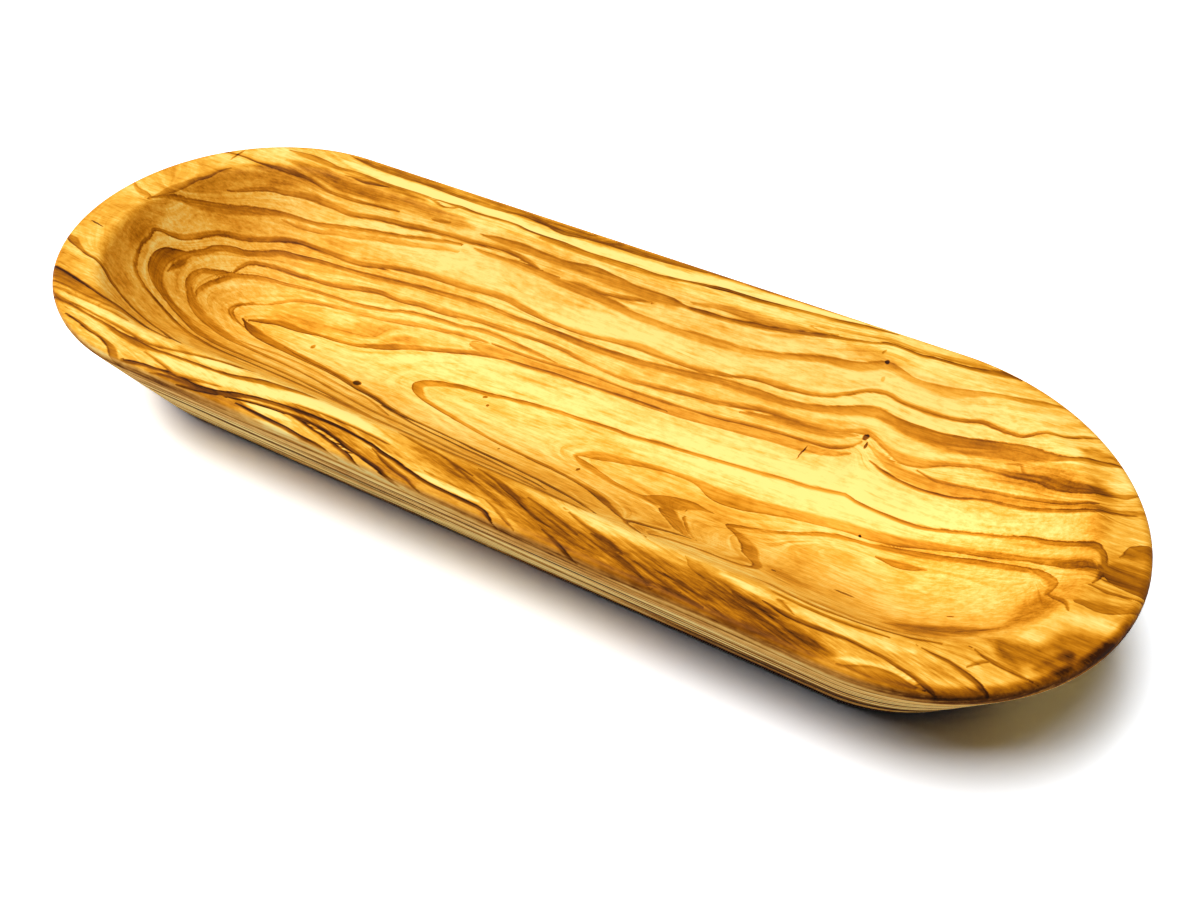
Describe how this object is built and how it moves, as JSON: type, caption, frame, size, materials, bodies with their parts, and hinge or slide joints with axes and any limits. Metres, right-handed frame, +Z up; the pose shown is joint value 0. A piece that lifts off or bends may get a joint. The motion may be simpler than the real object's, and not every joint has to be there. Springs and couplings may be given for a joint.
{
  "type": "bread bowl",
  "caption": "Long bread bowl carved from a single block of figured olive wood, with half-round ends, slanted walls, a broad flat rim and a smooth trough-like hollow.",
  "frame": {"origin": "middle of the flat base, on the surface that the bowl stands on", "axes": "+X along the bowl's length, +Y across it, +Z up out of the hollow"},
  "size_m": [0.4, 0.146, 0.052],
  "materials": {
    "olive_wood": "sanded smooth and oiled, with a soft sheen"
  },
  "bodies": {
    "root": {"bowl": "olive_wood"}
  },
  "joints": []
}
